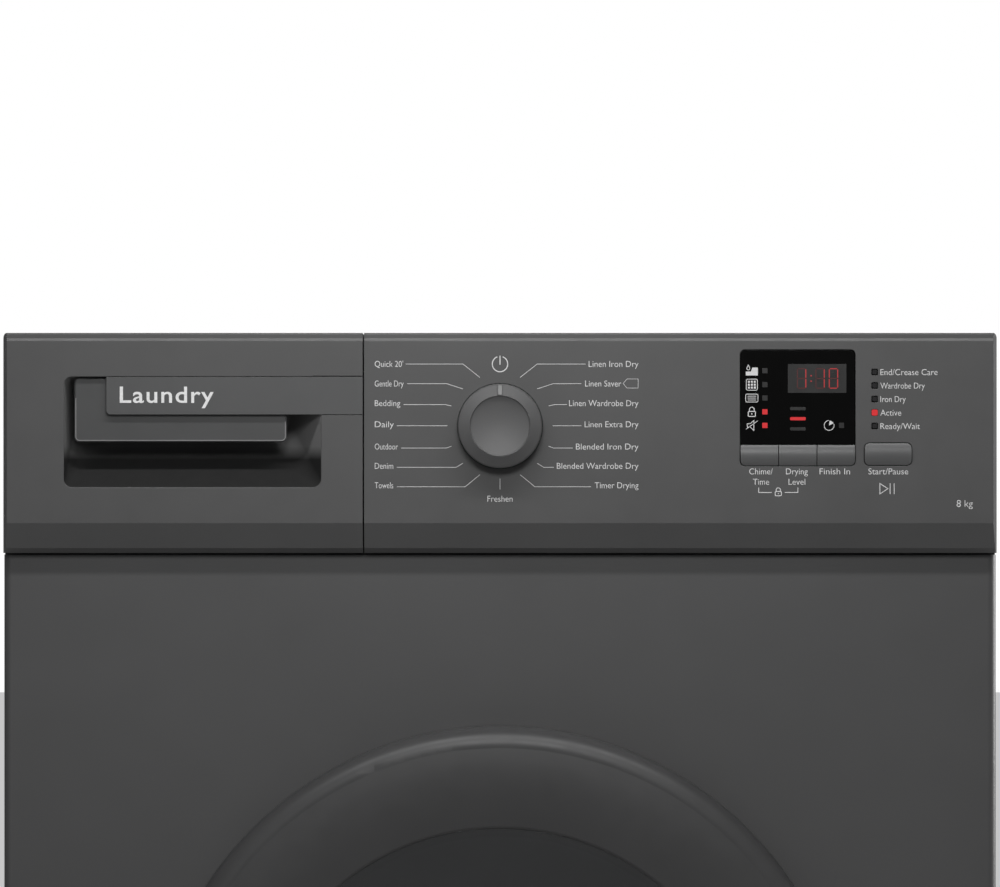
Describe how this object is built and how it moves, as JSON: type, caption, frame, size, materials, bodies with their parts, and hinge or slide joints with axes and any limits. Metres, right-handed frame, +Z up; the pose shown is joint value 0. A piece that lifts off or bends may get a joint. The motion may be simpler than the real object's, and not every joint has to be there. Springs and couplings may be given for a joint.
{
  "type": "clothes dryer",
  "caption": "Free-standing front-loading condenser clothes dryer: porthole door, turning drum, dial and display, pull-out water tank, lint filter and service flap.",
  "frame": {"origin": "on the floor, under the middle of the machine's bounding box", "axes": "+Z up, the control panel and door face -Y, +X to the right as seen from the front"},
  "size_m": [0.595, 0.61, 0.85],
  "materials": {
    "cabinet_paint": "satin graphite paint",
    "galvanised_steel": "galvanised",
    "worktop_laminate": "laminated board, satin",
    "graphite_plastic": "satin, fine grain",
    "knob_plastic": "satin, turned rings",
    "strip_plastic": "satin",
    "grip_plastic": "satin",
    "button_plastic": "satin",
    "display_black": "gloss",
    "lamp_lens": "smoked",
    "circuit_board": "solder resist",
    "door_plastic": "satin gloss",
    "door_glass": "smoked gloss",
    "inner_plastic": "moulded",
    "tank_plastic": "translucent white",
    "flap_plastic": "satin",
    "lever_plastic": "moulded blue",
    "filter_plastic": "moulded with fine mesh",
    "seal_rubber": "moulded rubber",
    "felt": "wool felt",
    "foot_rubber": "moulded rubber",
    "bright_steel": "zinc plated",
    "drum_steel": "stainless",
    "lifter_plastic": "moulded",
    "roller_rubber": "rubber tyre",
    "wheel_plastic": "moulded",
    "motor_aluminium": "cast",
    "condenser_aluminium": "folded fins",
    "heater_steel": "oxidised"
  },
  "bodies": {
    "cabinet": {"base_tray": "inner_plastic", "cabinet_screws": "bright_steel", "cable_gland": "inner_plastic", "condenser_core": "condenser_aluminium", "condenser_frame": "inner_plastic", "control_board": "circuit_board", "control_fascia": "graphite_plastic", "display_window": "display_black", "door_catch": "inner_plastic", "door_hinge_bracket": "bright_steel", "door_seal": "seal_rubber", "drain_pump": "inner_plastic", "drive_belt": "seal_rubber", "drum_felt_seal": "felt", "front_bulkhead": "inner_plastic", "front_panel": "cabinet_paint", "front_traverse": "cabinet_paint", "heater_element": "heater_steel", "indicator_lenses": "lamp_lens", "left_side_panel": "cabinet_paint", "levelling_feet": "foot_rubber", "motor_housing": "motor_aluminium", "process_fan_housing": "inner_plastic", "rear_bearing": "bright_steel", "rear_bulkhead": "galvanised_steel", "rear_duct_cover": "galvanised_steel", "rear_panel": "galvanised_steel", "right_side_panel": "cabinet_paint", "roller_axles": "bright_steel", "tank_housing": "inner_plastic", "tension_arm": "bright_steel", "worktop": "worktop_laminate"},
    "door": {"door_outer_ring": "door_plastic", "door_window": "door_glass", "door_inner_frame": "inner_plastic", "door_hinge_arm": "bright_steel", "door_latch_hook": "bright_steel"},
    "filter": {"lint_filter": "filter_plastic"},
    "flap": {"condenser_flap": "flap_plastic"},
    "lever_left": {"condenser_lever_left": "lever_plastic"},
    "lever_right": {"condenser_lever_right": "lever_plastic"},
    "tank": {"tank_container": "tank_plastic", "tank_front": "graphite_plastic", "tank_grip_plate": "grip_plastic", "tank_handle_strip": "strip_plastic"},
    "knob": {"programme_knob": "knob_plastic"},
    "buzzer_key": {"buzzer_button": "button_plastic"},
    "dryness_key": {"dryness_button": "button_plastic"},
    "delay_key": {"delay_button": "button_plastic"},
    "start_key": {"start_button": "button_plastic"},
    "drum": {"drum_shell": "drum_steel", "drum_rear_wall": "drum_steel", "drum_lifters": "lifter_plastic", "drum_shaft": "bright_steel"},
    "rotor": {"motor_shaft": "bright_steel", "process_fan": "wheel_plastic", "cooling_fan": "wheel_plastic"},
    "idler": {"idler_pulley": "wheel_plastic"},
    "roller_l": {"roller_left": "roller_rubber"},
    "roller_r": {"roller_right": "roller_rubber"}
  },
  "joints": [
    {"name": "door_hinge", "type": "hinge", "parent": "cabinet", "child": "door", "pos_m": [-0.216, -0.284, 0.405], "axis": [0, 0, -1], "range_deg": [0, 130]},
    {"name": "filter_pull", "type": "slide", "parent": "cabinet", "child": "filter", "axis": [0, 0, 1], "range_m": [0, 0.15]},
    {"name": "flap_hinge", "type": "hinge", "parent": "cabinet", "child": "flap", "pos_m": [-0.167, -0.268, 0.044], "axis": [1, 0, 0], "range_deg": [0, 90]},
    {"name": "lever_turn_left", "type": "hinge", "parent": "cabinet", "child": "lever_left", "pos_m": [-0.245, -0.264, 0.091], "axis": [0, 1, 0], "range_deg": [0, 90]},
    {"name": "lever_turn_right", "type": "hinge", "parent": "cabinet", "child": "lever_right", "pos_m": [-0.155, -0.264, 0.091], "axis": [0, 1, 0], "range_deg": [-90, 0]},
    {"name": "tank_pull", "type": "slide", "parent": "cabinet", "child": "tank", "axis": [0, -1, 0], "range_m": [0, 0.42]},
    {"name": "knob_turn", "type": "hinge", "parent": "cabinet", "child": "knob", "pos_m": [0, -0.29, 0.7944], "axis": [0, 1, 0], "continuous": true},
    {"name": "buzzer_press", "type": "slide", "parent": "cabinet", "child": "buzzer_key", "axis": [0, 1, 0], "range_m": [0, 0.0015], "stiffness_N_per_m": 600},
    {"name": "dryness_press", "type": "slide", "parent": "cabinet", "child": "dryness_key", "axis": [0, 1, 0], "range_m": [0, 0.0015], "stiffness_N_per_m": 600},
    {"name": "delay_press", "type": "slide", "parent": "cabinet", "child": "delay_key", "axis": [0, 1, 0], "range_m": [0, 0.0015], "stiffness_N_per_m": 600},
    {"name": "start_press", "type": "slide", "parent": "cabinet", "child": "start_key", "axis": [0, 1, 0], "range_m": [0, 0.0015], "stiffness_N_per_m": 600},
    {"name": "drum_spin", "type": "hinge", "parent": "cabinet", "child": "drum", "pos_m": [0, 0, 0.405], "axis": [0, 1, 0], "continuous": true},
    {"name": "rotor_spin", "type": "hinge", "parent": "cabinet", "child": "rotor", "pos_m": [0.19, 0, 0.095], "axis": [0, 1, 0], "continuous": true},
    {"name": "idler_spin", "type": "hinge", "parent": "cabinet", "child": "idler", "pos_m": [0.09, 0.09, 0.088], "axis": [0, 1, 0], "continuous": true},
    {"name": "roller_spin_left", "type": "hinge", "parent": "cabinet", "child": "roller_l", "pos_m": [-0.21942, -0.198, 0.18558], "axis": [0, 1, 0], "continuous": true},
    {"name": "roller_spin_right", "type": "hinge", "parent": "cabinet", "child": "roller_r", "pos_m": [0.21942, -0.198, 0.18558], "axis": [0, 1, 0], "continuous": true}
  ],
  "couplings": [
    {"joint": "rotor_spin", "follows": "drum_spin", "ratio": 30.57},
    {"joint": "idler_spin", "follows": "drum_spin", "ratio": 15.536},
    {"joint": "roller_spin_left", "follows": "drum_spin", "ratio": -10.923},
    {"joint": "roller_spin_right", "follows": "drum_spin", "ratio": -10.923}
  ]
}
